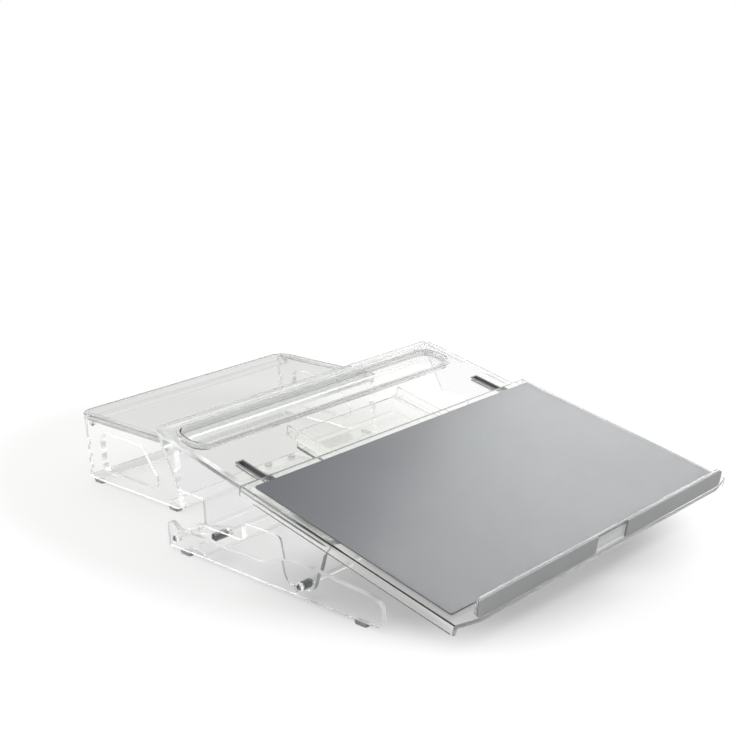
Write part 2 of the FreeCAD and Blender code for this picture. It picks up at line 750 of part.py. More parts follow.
def make_base_rods():
    """Two clear rods across the base, their end caps, and the washers and spacers on them."""
    length = "2 * (%s + cap_length / 2)" % BASE_OUTER
    start = "0 - (%s + cap_length / 2)" % BASE_OUTER
    keep(cylinder_x("hinge_rod", "rod_radius", length, start, HINGE_BACK, "hinge_height"))
    keep(cylinder_x("prop_pivot_rod", "rod_radius", length, start, PROP_BACK, "hinge_height"))
    for label, y in (("hinge_rod_caps", HINGE_BACK), ("prop_pivot_caps", PROP_BACK)):
        caps = []
        for side, sign in SIDES:
            name = "%s_%s" % (label, side)
            skin = cylinder_x(name + "_skin", "cap_radius", "cap_length",
                              low_edge(side, BASE_OUTER, "cap_length"), y, "hinge_height")
            core_start = low_edge(side, BASE_OUTER, "cap_length / 2 + fit")
            core = cylinder_x(name + "_core", "rod_radius + fit", "cap_length / 2 + fit",
                              core_start, y, "hinge_height")
            cap = doc.addObject("Part::Cut", name)
            cap.Base = skin
            cap.Tool = core
            caps.append(cap)
        keep(group(label, caps))
    washers = []
    spacers = []
    arm_outer = "(%s - side_sheet - base_gap)" % SIDE_OUTER
    for side, sign in SIDES:
        washer_length = "(base_gap - 2 * fit)"
        washers.append(tube_x("hinge_washer_" + side, "rod_radius + washer_wall", "rod_radius + fit",
                              washer_length, low_edge(side, "%s + fit" % SIDE_OUTER, washer_length),
                              HINGE_BACK, "hinge_height"))
        spacer_length = "(%s - %s - 2 * slip)" % (BASE_INNER, arm_outer)
        spacers.append(tube_x("prop_spacer_" + side, "rod_radius + spacer_wall", "rod_radius + fit",
                              spacer_length, low_edge(side, "%s + slip" % arm_outer, spacer_length),
                              PROP_BACK, "hinge_height"))
    keep(group("hinge_washers", washers))
    keep(group("prop_spacers", spacers))


def make_base_rail():
    """Flat clear rail that ties the base sides near the table."""
    rail = block("base_rail", "2 * " + BASE_INNER, "rail_depth", "rail_sheet")
    place(rail, "0 - " + BASE_INNER, BASE_RAIL_BACK, "foot_height")
    keep(rail)


def make_feet(label, sheet_middle, front, rear):
    """Four rubber feet under the ends of a pair of sides."""
    feet = []
    for side, sign in SIDES:
        for end, y in (("front", front), ("rear", rear)):
            foot = block("%s_%s_%s" % (label, end, side), "foot_width", "foot_length", "foot_height")
            place(foot, "%s * %s - foot_width / 2" % (sign, sheet_middle), y, "0")
            feet.append(foot)
    keep(group(label, feet))


# ---------------------------------------------------------------- prop
def make_prop():
    """Two arms on the rear rod, joined by a rod whose sleeves carry the deck's sides."""
    arm_outer = "(%s - side_sheet - base_gap)" % SIDE_OUTER
    reach = "sqrt(prop_run * prop_run + prop_rise * prop_rise)"
    half = "prop_width / 2"
    for side, sign in SIDES:
        body = new_body("prop_arm_" + side)
        sketch = sketch_on(body, "YZ_Plane", "outline")
        draw_outline(sketch, box_points("0 - " + half, "0 - " + half, reach + " + " + half, half))
        pad(body, sketch, "prop_sheet")
        round_edges(body, lambda edge: along(X_AXIS, edge), "prop_width / 2 - fit", "ends")
        eyes = sketch_on(body, "YZ_Plane", "eyes")
        draw_circle(eyes, "0", "0", "rod_radius + fit")
        draw_circle(eyes, reach, "0", "prop_rod_radius + fit")
        pocket(body, eyes, "prop_sheet")
        body.Placement = FreeCAD.Placement(FreeCAD.Vector(), FreeCAD.Rotation(X_AXIS, 1))
        place(body, low_edge(side, "%s - prop_sheet" % arm_outer, "prop_sheet"), PROP_BACK, "hinge_height")
        bind(body, "Placement.Rotation.Angle", "180 deg - atan(prop_rise / prop_run)")
        keep(body)
    rod_half = "(%s + base_gap / 2)" % SIDE_OUTER
    keep(cylinder_x("prop_rod", "prop_rod_radius", "2 * " + rod_half, "0 - " + rod_half,
                    PROP_TIP_BACK, PROP_TIP_HEIGHT))
    sleeves = []
    sleeve_length = "(%s - %s - slip)" % (rod_half, arm_outer)
    for side, sign in SIDES:
        sleeves.append(tube_x("prop_sleeve_" + side, SLEEVE_RADIUS, "prop_rod_radius + fit", sleeve_length,
                              low_edge(side, "%s + slip" % arm_outer, sleeve_length),
                              PROP_TIP_BACK, PROP_TIP_HEIGHT))
    keep(group("prop_sleeves", sleeves))


# ---------------------------------------------------------------- monitor platform
def make_platform():
    """Clear plate on two clear rods between two notched side frames."""
    half = "platform_width / 2"
    plate = flat_sheet("platform_plate", "0 - " + half, PLATFORM_FRONT, half, PLATFORM_REAR,
                       "platform_sheet", "platform_corner")
    place(plate, z=FRAME_TOP)
    keep(plate)
    outline = box_points(FRAME_FRONT, "foot_height", FRAME_REAR, FRAME_TOP)
    window_low = "(foot_height + frame_sill)"
    window_high = "(%s - frame_sill)" % FRAME_TOP
    window_front = "(%s + frame_leg)" % FRAME_FRONT
    window_rear = "(%s - frame_leg)" % FRAME_REAR
    rod_height = "(%s - platform_rod_radius)" % FRAME_TOP
    for side, sign in SIDES:
        body = side_sheet_body("platform_frame_" + side, outline, "frame_sheet", [((0, 1), "base_corner")])
        window = sketch_on(body, "YZ_Plane", "window")
        corners = [(window_front, window_low), (window_rear, window_low), (window_rear, window_high),
                   (window_front + " + frame_slant", window_high)]
        draw_outline(window, corners)
        pocket(body, window, "frame_sheet")
        spots = [(value(y), value(z)) for y, z in corners]
        round_edges(body, lambda edge: along(X_AXIS, edge) and at_corner(edge, X_AXIS, spots),
                    "frame_corner", "window_corners")
        notches = sketch_on(body, "YZ_Plane", "notches")
        for step in range(3):
            height = "%s + frame_notch_pitch * %d" % (window_low, step)
            draw_circle(notches, FRAME_FRONT, height, "frame_notch_radius")
            draw_circle(notches, FRAME_REAR, height, "frame_notch_radius")
        pocket(body, notches, "frame_sheet")
        holes = sketch_on(body, "YZ_Plane", "rod_holes")
        for y in (FRAME_FRONT + " + platform_rod_inset", FRAME_REAR + " - platform_rod_inset"):
            draw_circle(holes, y, rod_height + " - fit", "platform_rod_radius")
        pocket(body, holes, "frame_sheet")
        place(body, low_edge(side, "%s - frame_sheet" % FRAME_OUTER, "frame_sheet"))
        keep(body)


def make_platform_bars():
    """Clear rods under the plate, and a flat rail between the frames near the table."""
    rod_height = "(%s - platform_rod_radius)" % FRAME_TOP
    for end, y in (("front", FRAME_FRONT + " + platform_rod_inset"),
                   ("rear", FRAME_REAR + " - platform_rod_inset")):
        keep(cylinder_x("platform_rod_" + end, "platform_rod_radius - fit", "2 * " + FRAME_OUTER,
                        "0 - " + FRAME_OUTER, y, rod_height + " - fit"))
    inner = "(%s - frame_sheet)" % FRAME_OUTER
    for end, y in (("front", FRAME_FRONT), ("rear", FRAME_REAR + " - rail_depth")):
        rail = block("platform_rail_" + end, "2 * " + inner, "rail_depth", "rail_sheet")
        place(rail, "0 - " + inner, y, "foot_height")
        keep(rail)


def make_link():
    """Clear strap that holds the platform at its distance behind the base."""
    front = "(%s + rail_depth - link_lap)" % BASE_RAIL_BACK
    rear = "(%s + link_lap)" % FRAME_FRONT
    half = "link_width / 2"
    link = flat_sheet("link_strap", "0 - " + half, front, half, rear, "link_sheet", "base_corner")
    place(link, z=RAIL_TOP)
    keep(link)
    heads = []
    for side, sign in SIDES:
        for end, y in (("front", front + " + link_lap / 2"), ("rear", rear + " - link_lap / 2")):
            head = doc.addObject("Part::Cylinder", "link_screw_%s_%s" % (end, side))
            bind(head, "Radius", "screw_head_radius")
            bind(head, "Height", "screw_head_height")
            place(head, "%s * link_width / 4" % sign, y, RAIL_TOP + " + link_sheet")
            heads.append(head)
    keep(group("link_screws", heads))


make_board()
make_pad()
make_lip()
make_glides()
make_deck()
make_channels()
make_pen_tray()
make_deck_sides()
make_deck_rib()
make_runners()
make_drawer()
make_base_sides()
make_base_rods()
make_base_rail()
make_feet("base_feet", "(%s + side_sheet / 2)" % BASE_INNER, BASE_FRONT + " + foot_inset",
          BASE_REAR + " - foot_inset - foot_length")
make_prop()
make_platform()
make_platform_bars()
make_feet("platform_feet", "(%s - frame_sheet / 2)" % FRAME_OUTER, FRAME_FRONT + " + base_corner",
          FRAME_REAR + " - base_corner - foot_length")
make_link()
doc.recompute()

# ---------------------------------------------------------------- checks and files
for item in doc.Objects:
    assert "Invalid" not in item.State and "Error" not in item.State, "%s failed" % item.Label
os.makedirs("parts", exist_ok=True)
for node in NODES:
    assert not node.Shape.isNull() and node.Shape.isValid(), "%s has no valid shape" % node.Label
    node.Shape.exportStep("parts/%s.step" % node.Label)
print(len(NODES), "nodes written")
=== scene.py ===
"""Looks of the clear desk stand: sliding board with a grey pad, deck, drawer, base and monitor platform.

Metres, +X to the user's right, +Y away from the user, +Z up. The slope frame has its origin in the
middle of the pad's top: X across, Y up the slope, Z square to the pad.
"""
import json
import math

import bmesh
import bpy
from mathutils import Matrix, Vector

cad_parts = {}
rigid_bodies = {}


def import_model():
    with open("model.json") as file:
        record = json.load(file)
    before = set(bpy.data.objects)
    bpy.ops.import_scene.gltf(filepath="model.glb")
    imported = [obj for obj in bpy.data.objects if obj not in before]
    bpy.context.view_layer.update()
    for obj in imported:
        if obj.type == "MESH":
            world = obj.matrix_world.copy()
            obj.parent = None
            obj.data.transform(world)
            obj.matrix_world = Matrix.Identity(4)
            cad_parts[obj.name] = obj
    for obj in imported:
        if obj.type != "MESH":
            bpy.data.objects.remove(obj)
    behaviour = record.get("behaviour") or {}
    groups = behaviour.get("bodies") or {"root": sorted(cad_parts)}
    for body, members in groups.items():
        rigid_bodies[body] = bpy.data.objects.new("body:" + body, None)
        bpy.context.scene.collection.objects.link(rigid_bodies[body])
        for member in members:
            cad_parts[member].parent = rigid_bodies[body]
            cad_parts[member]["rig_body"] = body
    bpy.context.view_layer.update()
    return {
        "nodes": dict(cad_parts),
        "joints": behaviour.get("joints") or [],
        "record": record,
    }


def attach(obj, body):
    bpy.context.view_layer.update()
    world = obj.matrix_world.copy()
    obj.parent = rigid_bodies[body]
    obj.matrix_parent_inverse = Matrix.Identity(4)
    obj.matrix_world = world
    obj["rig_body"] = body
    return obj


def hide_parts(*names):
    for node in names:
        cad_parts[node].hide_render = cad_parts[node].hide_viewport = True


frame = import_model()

MM = 0.001
NODES = frame["nodes"]
RECORD = frame["record"]


# ---------------------------------------------------------------- the slope frame, from the record
X, Y, Z = 0, 1, 2
ACROSS = Vector((1, 0, 0))
BACKWARDS = Vector((0, 1, 0))
UP = Vector((0, 0, 1))


def slope_frame():
    """Matrix from the slope frame to the world, from the board's slide and the place for papers."""
    slide = [joint for joint in frame["joints"] if joint["name"] == "board_slide"][0]
    rest = [mount for mount in RECORD["mounts"] if mount["name"] == "document_rest"][0]
    up_slope = Vector(slide["axis"]).normalized()
    turn = Matrix((ACROSS, up_slope, ACROSS.cross(up_slope))).transposed()
    return Matrix.Translation(Vector(rest["pos_m"])) @ turn.to_4x4()


WORLD = Matrix.Identity(4)
SLOPE = slope_frame()
UP_SLOPE = SLOPE.to_3x3() @ BACKWARDS
SLOPE_NORMAL = SLOPE.to_3x3() @ UP


def extent(node, space=WORLD):
    """Lowest and highest corners of a CAD node in a frame."""
    back = space.inverted()
    points = [back @ vertex.co for vertex in NODES[node].data.vertices]
    low = Vector([min(point[axis] for point in points) for axis in (X, Y, Z)])
    high = Vector([max(point[axis] for point in points) for axis in (X, Y, Z)])
    return low, high


# ---------------------------------------------------------------- modelling helpers
ROUND_SIDES = 48
NEAR = 0.1 * MM
LOOKS_ALONG = 0.9    # cosine past which a face looks along a direction
RUNS_ALONG = 0.99    # cosine past which an edge runs along an axis
MERGE_DISTANCE = 0.001 * MM
FLAT_ANGLE = math.radians(1)
SHARP_ANGLE = math.radians(30)
SMOOTH_ANGLE = math.radians(50)
BOND_GAP = 0.06 * MM

SHEET_BREAK = 0.4 * MM
THIN_BREAK = 0.3 * MM
MOULDED_BREAK = 0.25 * MM
SOFT_BREAK = 0.5 * MM


def select_only(*pieces):
    bpy.ops.object.select_all(action="DESELECT")
    for piece in pieces:
        piece.select_set(True)
    bpy.context.view_layer.objects.active = pieces[-1]


def add_block(name, low, high):
    """A block between two corners, its place in its mesh."""
    bpy.ops.object.select_all(action="DESELECT")
    bpy.ops.mesh.primitive_cube_add(size=1, location=(Vector(low) + Vector(high)) / 2)
    piece = bpy.context.object
    piece.name = name
    piece.scale = Vector(high) - Vector(low)
    bpy.ops.object.transform_apply(location=True, rotation=True, scale=True)
    return piece


def add_round(name, centre, radius, length, axis):
    """A round bar about its centre, along X or Y."""
    turn = {X: (0, math.pi / 2, 0), Y: (math.pi / 2, 0, 0)}[axis]
    bpy.ops.object.select_all(action="DESELECT")
    bpy.ops.mesh.primitive_cylinder_add(vertices=ROUND_SIDES, radius=radius, depth=length, location=centre,
                                        rotation=turn, end_fill_type="NGON")
    piece = bpy.context.object
    piece.name = name
    bpy.ops.object.transform_apply(location=True, rotation=True, scale=True)
    return piece


def edit(piece):
    """Open a piece in edit mode with nothing selected; edges and faces are then picked in code."""
    select_only(piece)
    bpy.ops.object.mode_set(mode="EDIT")
    bpy.ops.mesh.select_mode(type="FACE")
    bpy.ops.mesh.select_all(action="DESELECT")
    return bmesh.from_edit_mesh(piece.data)


def done():
    bpy.ops.object.mode_set(mode="OBJECT")


def looks(normal, direction):
    return normal.dot(direction) > LOOKS_ALONG


def pick_faces(piece, test):
    """Select the faces whose centre and normal pass a test."""
    mesh = edit(piece)
    for face in mesh.faces:
        face.select_set(test(face.calc_center_median(), face.normal))
    bmesh.update_edit_mesh(piece.data)


def pick_edges(piece, test):
    """Select the edges whose middle and direction pass a test."""
    mesh = edit(piece)
    bpy.ops.mesh.select_mode(type="EDGE")
    for edge in mesh.edges:
        start, end = edge.verts[0].co, edge.verts[1].co
        edge.select_set(test((start + end) / 2, (end - start).normalized()))
    bmesh.update_edit_mesh(piece.data)


def round_picked(radius, segments):
    bpy.ops.mesh.bevel(offset=radius, segments=segments, affect="EDGES", profile=0.5, clamp_overlap=False)
    done()


def round_corners(piece, axis, radius, segments=6, test=lambda middle: True):
    """Round the edges of a piece that run along one axis."""
    pick_edges(piece, lambda middle, direction: abs(direction[axis]) > RUNS_ALONG and test(middle))
    round_picked(radius, segments)


def inset_picked(thickness, depth=0.0):
    bpy.ops.mesh.inset(thickness=thickness, depth=depth, use_even_offset=True)


def extrude_picked(offset):
    bpy.ops.mesh.extrude_region_move(TRANSFORM_OT_translate={"value": offset})


def slice_piece(piece, point, normal, drop=False):
    """Cut a piece along a plane; with drop, what lies past the plane goes and the cut is closed."""
    edit(piece)
    bpy.ops.mesh.select_all(action="SELECT")
    bpy.ops.mesh.bisect(plane_co=point, plane_no=normal, use_fill=drop, clear_outer=drop)
    done()


def apply_modifier(piece, kind, **settings):
    select_only(piece)
    modifier = piece.modifiers.new(kind.title(), kind)
    for key, setting in settings.items():
        setattr(modifier, key, setting)
    bpy.ops.object.modifier_apply(modifier=modifier.name)


def cut(piece, cutter):
    """Take a cutter's shape out of a piece and throw the cutter away."""
    apply_modifier(piece, "BOOLEAN", object=cutter, operation="DIFFERENCE", solver="EXACT")
    bpy.data.objects.remove(cutter)


def polish(piece, width, segments=2):
    """Break every sharp edge by a narrow bevel and shade it smooth, while the flat faces stay flat.

    Every face first draws back by a hair, so that clear pieces which touch never share a face.
    """
    apply_modifier(piece, "DISPLACE", strength=-BOND_GAP, mid_level=0.0)
    apply_modifier(piece, "BEVEL", width=width, segments=segments, limit_method="ANGLE",
                   angle_limit=SHARP_ANGLE, use_clamp_overlap=False, miter_outer="MITER_ARC")
    select_only(piece)
    bpy.ops.object.shade_smooth_by_angle(angle=SMOOTH_ANGLE)
    apply_modifier(piece, "WEIGHTED_NORMAL", mode="FACE_AREA", weight=100, keep_sharp=True)


def settle(piece, space):
    """Move a piece from the frame it was drawn in to the world, with its place in its mesh."""
    select_only(piece)
    piece.matrix_world = space @ piece.matrix_world
    bpy.ops.object.transform_apply(location=True, rotation=True, scale=True)


def merged_copy(node, name):
    """A copy of a CAD node with its loose triangles joined into flat faces."""
    piece = bpy.data.objects.new(name, NODES[node].data.copy())
    bpy.context.scene.collection.objects.link(piece)
    piece.data.materials.clear()
    edit(piece)
    bpy.ops.mesh.select_all(action="SELECT")
    bpy.ops.mesh.remove_doubles(threshold=MERGE_DISTANCE)
    bpy.ops.mesh.dissolve_limited(angle_limit=FLAT_ANGLE)
    done()
    return piece


def join(name, pieces):
    """Several like solids in one piece."""
    select_only(*pieces)
    bpy.ops.object.join()
    piece = bpy.context.object
    piece.name = name
    return piece


def stand_for(piece, node):
    """A piece rides with the node that it stands for, and the node is hidden."""
    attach(piece, NODES[node]["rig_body"])
    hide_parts(node)


# ---------------------------------------------------------------- shader nodes
def add_node(tree, kind, **sockets):
    """A shader node with some of its sockets set."""
    node = tree.nodes.new(kind)
    for name, setting in sockets.items():
        node.inputs[name.replace("_", " ")].default_value = setting
    return node


def combine(tree, operation, first, second):
    """One number from two."""
    node = tree.nodes.new("ShaderNodeMath")
    node.operation = operation
    tree.links.new(first, node.inputs[0])
    tree.links.new(second, node.inputs[1])
    return node.outputs["Value"]


def soft_step(tree, source, start, end, low=0.0, high=1.0):
    """A smooth change from low to high while the source goes from start to end."""
    node = add_node(tree, "ShaderNodeMapRange", From_Min=start, From_Max=end, To_Min=low, To_Max=high)
    node.interpolation_type = "SMOOTHSTEP"
    tree.links.new(source, node.inputs["Value"])
    return node.outputs["Result"]


def mix_shaders(tree, share, first, second):
    node = tree.nodes.new("ShaderNodeMixShader")
    tree.links.new(share, node.inputs["Fac"])
    tree.links.new(first, node.inputs[1])
    tree.links.new(second, node.inputs[2])
    return node.outputs["Shader"]


def grey(level):
    return (level, level, level, 1)


# ---------------------------------------------------------------- materials
SHEET_IOR = 1.49
RUBBER_IOR = 1.45
PAD_IOR = 1.5


class Finish:
    """A new material with its Principled shader, and short ways to add nodes to it."""

    def __init__(self, name):
        self.material = bpy.data.materials.new(name)
        self.material.use_nodes = True
        self.tree = self.material.node_tree
        self.tree.nodes.clear()
        self.output = self.tree.nodes.new("ShaderNodeOutputMaterial")
        self.shader = self.tree.nodes.new("ShaderNodeBsdfPrincipled")
        self.link(self.shader.outputs["BSDF"], self.output.inputs["Surface"])
        self.place = self.tree.nodes.new("ShaderNodeTexCoord").outputs["Object"]

    def link(self, source, target):
        self.tree.links.new(source, target)

    def set(self, **sockets):
        for name, setting in sockets.items():
            self.shader.inputs[name.replace("_", " ")].default_value = setting

    def noise(self, scale, detail, stretch=(1, 1, 1)):
        mapping = add_node(self.tree, "ShaderNodeMapping", Scale=stretch)
        self.link(self.place, mapping.inputs["Vector"])
        node = add_node(self.tree, "ShaderNodeTexNoise", Scale=scale, Detail=detail)
        self.link(mapping.outputs["Vector"], node.inputs["Vector"])
        return node.outputs["Fac"]

    def ramp(self, source, low, high, start=0.3, end=0.7):
        """Map a pattern to a colour between two ends."""
        node = self.tree.nodes.new("ShaderNodeValToRGB")
        node.color_ramp.elements[0].position = start
        node.color_ramp.elements[1].position = end
        node.color_ramp.elements[0].color = low
        node.color_ramp.elements[1].color = high
        self.link(source, node.inputs["Fac"])
        return node.outputs["Color"]

    def uneven_colour(self, scale, low, high, detail=3, stretch=(1, 1, 1)):
        """A base colour that drifts between two tones."""
        drift = self.ramp(self.noise(scale, detail, stretch), (*low, 1), (*high, 1))
        self.link(drift, self.shader.inputs["Base Color"])

    def grain(self, scale, smooth, rough, strength, depth, detail=3, stretch=(1, 1, 1)):
        """A fine grain in the gloss and in the surface."""
        marks = self.noise(scale, detail, stretch)
        self.link(self.ramp(marks, grey(smooth), grey(rough)), self.shader.inputs["Roughness"])
        bump = add_node(self.tree, "ShaderNodeBump", Strength=strength, Distance=depth)
        self.link(marks, bump.inputs["Height"])
        self.link(bump.outputs["Normal"], self.shader.inputs["Normal"])

    def let_lamps_through(self, tint):
        """Lamp light passes the sheet, so that what lies below stays lit."""
        path = self.tree.nodes.new("ShaderNodeLightPath")
        clear = add_node(self.tree, "ShaderNodeBsdfTransparent", Color=(*tint, 1))
        surface = mix_shaders(self.tree, path.outputs["Is Shadow Ray"],
                              self.shader.outputs["BSDF"], clear.outputs["BSDF"])
        self.link(surface, self.output.inputs["Surface"])


def clear_sheet(name, tint, roughest):
    """Cast sheet with a faint tint, and wiping marks in its gloss."""
    finish = Finish(name)
    finish.set(Base_Color=(*tint, 1), Transmission_Weight=1.0, IOR=SHEET_IOR)
    wiping = finish.noise(scale=9, detail=6, stretch=(1, 3, 1))
    wiped = finish.ramp(wiping, grey(0.0), grey(roughest), start=0.45, end=0.75)
    finish.link(wiped, finish.shader.inputs["Roughness"])
    finish.let_lamps_through([(1 + part) / 2 for part in tint])
    return finish.material


def scraped_edge():
    """Scraped edge of the clear sheet: frosted, so it shows as a soft pale line."""
    finish = Finish("scraped_sheet_edge")
    finish.set(Base_Color=(0.86, 0.866, 0.862, 1), Transmission_Weight=1.0, IOR=SHEET_IOR)
    finish.grain(scale=1500, smooth=0.34, rough=0.46, strength=0.05, depth=0.01 * MM,
                 detail=2, stretch=(1, 1, 0.1))
    finish.let_lamps_through((0.88, 0.885, 0.88))
    return finish.material


def painted_shade_leg_edge():
    """Front edge of the deck's legs, left unpolished; its dark grey is painted shade, darker than the rest.
    """
    finish = Finish("leg_edge_painted_shade")
    finish.set(Base_Color=(0.30, 0.305, 0.315, 1), Transmission_Weight=0.5, IOR=SHEET_IOR)
    finish.grain(scale=900, smooth=0.35, rough=0.5, strength=0.1, depth=0.02 * MM, stretch=(1, 0.2, 1))
    finish.let_lamps_through((0.6, 0.6, 0.6))
    return finish.material


def clear_rubber():
    """Soft clear rubber of the feet and sleeves: cloudy grey where it is thick."""
    finish = Finish("cloudy_clear_rubber")
    finish.uneven_colour(scale=60, low=(0.42, 0.42, 0.425), high=(0.5, 0.5, 0.505))
    finish.grain(scale=500, smooth=0.35, rough=0.5, strength=0.2, depth=0.05 * MM)
    finish.set(Transmission_Weight=0.6, IOR=RUBBER_IOR)
    finish.let_lamps_through((0.6, 0.6, 0.6))
    return finish.material


def satin_pad():
    """Grey non-slip mat with a very fine pebbled skin and a soft sheen."""
    finish = Finish("grey_pad_skin")
    finish.uneven_colour(scale=6, low=(0.144, 0.151, 0.166), high=(0.159, 0.166, 0.182))
    finish.grain(scale=1400, smooth=0.28, rough=0.34, strength=0.12, depth=0.08 * MM, detail=2)
    finish.set(IOR=PAD_IOR, Coat_Weight=0.7, Coat_Roughness=0.12)
    return finish.material


def satin_strip():
    """Grey facing strips of the lip, with a satin skin."""
    finish = Finish("satin_grey_strip")
    finish.uneven_colour(scale=14, low=(0.405, 0.415, 0.425), high=(0.435, 0.445, 0.455))
    finish.grain(scale=900, smooth=0.35, rough=0.45, strength=0.1, depth=0.05 * MM, detail=2)
    return finish.material


def moulded(name, low, high, smooth, rough):
    """Moulded plastic: a slightly uneven colour and a fine grain."""
    finish = Finish(name)
    finish.uneven_colour(scale=25, low=low, high=high, detail=4)
    finish.grain(scale=700, smooth=smooth, rough=rough, strength=0.15, depth=0.05 * MM)
    return finish.material


def drawn_steel():
    """Bright steel with fine lines from the drawing die."""
    finish = Finish("drawn_steel")
    finish.set(Metallic=1.0)
    lines = {"scale": 60, "detail": 4, "stretch": (30, 1, 1)}
    finish.uneven_colour(low=(0.52, 0.53, 0.54), high=(0.66, 0.67, 0.68), **lines)
    finish.grain(smooth=0.22, rough=0.36, strength=0.08, depth=0.02 * MM, **lines)
    return finish.material


SHEET = clear_sheet("polished_clear_sheet", tint=(0.988, 0.992, 0.979), roughest=0.06)
# darker copy of the clear sheet for the profiled sides: painted shade
SIDE_SHEET_PAINTED_SHADE = clear_sheet("side_sheet_painted_shade", tint=(0.930, 0.932, 0.942), roughest=0.08)
# grey tint on the tray's walls: painted shade for the grey band seen along them
TRAY_WALL_PAINTED_SHADE = clear_sheet("tray_wall_painted_shade", tint=(0.70, 0.705, 0.705), roughest=0.15)
# grey tint on the clear ledge: painted shade seen through the notch in the strips
LEDGE_PAINTED_SHADE = clear_sheet("ledge_sheet_painted_shade", tint=(0.82, 0.83, 0.835), roughest=0.2)
EDGE = scraped_edge()
# dark grey on the legs' front edges: painted shade
LEG_EDGE_PAINTED_SHADE = painted_shade_leg_edge()
PAD = satin_pad()
STRIP = satin_strip()
CHANNEL = moulded("grey_channel_plastic", low=(0.22, 0.222, 0.226), high=(0.27, 0.272, 0.277),
                  smooth=0.35, rough=0.5)
KNOB = moulded("grey_knob_plastic", low=(0.17, 0.173, 0.178), high=(0.2, 0.203, 0.208),
               smooth=0.25, rough=0.4)
GLIDE = moulded("white_glide_plastic", low=(0.72, 0.73, 0.72), high=(0.80, 0.81, 0.80),
                smooth=0.35, rough=0.5)
RUBBER = clear_rubber()
STEEL = drawn_steel()

FACE, CUT_EDGE, PAINTED_SHADE_EDGE = 0, 1, 2
SQUARE_TO = 0.5    # cosine past which a face is taken as square to an axis


def dress(piece, material):
    piece.data.materials.clear()
    piece.data.materials.append(material)


def dress_clear(piece, *face_axes, face_sheet=SHEET, edge_finish=EDGE):
    """Polished sheet on the faces square to the given axes, cut edge on the others."""
    dress(piece, face_sheet)
    piece.data.materials.append(edge_finish)
    for face in piece.data.polygons:
        polished = any(abs(face.normal.dot(axis)) > SQUARE_TO for axis in face_axes)
        face.material_index = FACE if polished else CUT_EDGE


# ---------------------------------------------------------------- sliding board
PAD_CORNER = 3 * MM


def make_pad():
    """Grey mat with slightly rounded corners."""
    pad = add_block("desk_pad", *extent("writing_pad", SLOPE))
    round_corners(pad, Z, PAD_CORNER, segments=4)
    polish(pad, SOFT_BREAK, segments=3)
    settle(pad, SLOPE)
    dress(pad, PAD)
    stand_for(pad, "writing_pad")


BOARD_SHEET = 5 * MM
BOARD_BEND = 4 * MM
BOARD_RELIEF_RUN = 32 * MM
BOARD_RELIEF_DEPTH = 8 * MM
CUT_PAST = 10 * MM


def make_board():
    """Clear sheet with both long sides bent down and its front corners eased."""
    low, high = extent("board_sheet", SLOPE)
    board = add_block("clear_board", low, high)
    round_corners(board, Y, BOARD_BEND, test=lambda middle: middle.z > high.z - NEAR)
    hollow_low = (low.x + BOARD_SHEET, low.y - CUT_PAST, low.z - CUT_PAST)
    hollow_high = (high.x - BOARD_SHEET, high.y + CUT_PAST, high.z - BOARD_SHEET)
    cut(board, add_block("hollow", hollow_low, hollow_high))
    for side in (-1, 1):
        relief_start = (side * (high.x - BOARD_RELIEF_RUN), low.y, 0)
        slice_piece(board, relief_start, (side * BOARD_RELIEF_DEPTH, -BOARD_RELIEF_RUN, 0), drop=True)
    polish(board, SHEET_BREAK)
    settle(board, SLOPE)
    dress_clear(board, SLOPE_NORMAL, ACROSS)
    stand_for(board, "board_sheet")


LIP_CORNER = 5 * MM
LIP_PIECES = [
    # node, name, material, sides on which the end is rounded
    # the ledge's grey tint is painted shade
    ("lip_ledge", "clear_ledge", LEDGE_PAINTED_SHADE, (-1, 1)),
    ("lip_strip_left", "grey_strip_left", STRIP, (-1,)),
    ("lip_strip_right", "grey_strip_right", STRIP, (1,)),
]


def make_lip():
    """Clear ledge and its two grey facing strips, rounded at their outer ends."""
    for node, name, material, rounded_sides in LIP_PIECES:
        low, high = extent(node, SLOPE)
        piece = add_block(name, low, high)
        for side in rounded_sides:
            outer = high.x if side > 0 else low.x
            round_corners(piece, Y, LIP_CORNER, segments=8, test=lambda middle: abs(middle.x - outer) < NEAR)
        polish(piece, THIN_BREAK)
        settle(piece, SLOPE)
        dress(piece, material)
        stand_for(piece, node)


# ---------------------------------------------------------------- deck
DECK_CORNER = 14 * MM
TRAY_CORNER = 20 * MM
TRAY_FLANGE = 4 * MM
TRAY_WALL = 2 * MM
TRAY_HEEL = 3 * MM
TRAY_FIT = 0.3 * MM
CHANNEL_RIM = 1 * MM
CHANNEL_WALL = 1.4 * MM


def make_deck():
    """Clear deck with its two slots and the opening that the pen tray hangs in."""
    deck = add_block("clear_deck", *extent("deck_sheet", SLOPE))
    round_corners(deck, Z, DECK_CORNER, segments=8)
    under_rim = Vector((CHANNEL_RIM, CHANNEL_RIM, 0))
    for side in ("left", "right"):
        slot_low, slot_high = extent("slot_channel_" + side, SLOPE)
        cut(deck, add_block("slot", slot_low + under_rim, slot_high - under_rim))
    tray_low, tray_high = extent("pen_tray", SLOPE)
    under_flange = Vector((TRAY_FLANGE - TRAY_FIT, TRAY_FLANGE - TRAY_FIT, 0))
    opening = add_block("opening", tray_low + under_flange, tray_high - under_flange)
    round_corners(opening, Z, TRAY_CORNER, segments=12)
    cut(deck, opening)
    polish(deck, SHEET_BREAK)
    settle(deck, SLOPE)
    dress_clear(deck, SLOPE_NORMAL)
    stand_for(deck, "deck_sheet")


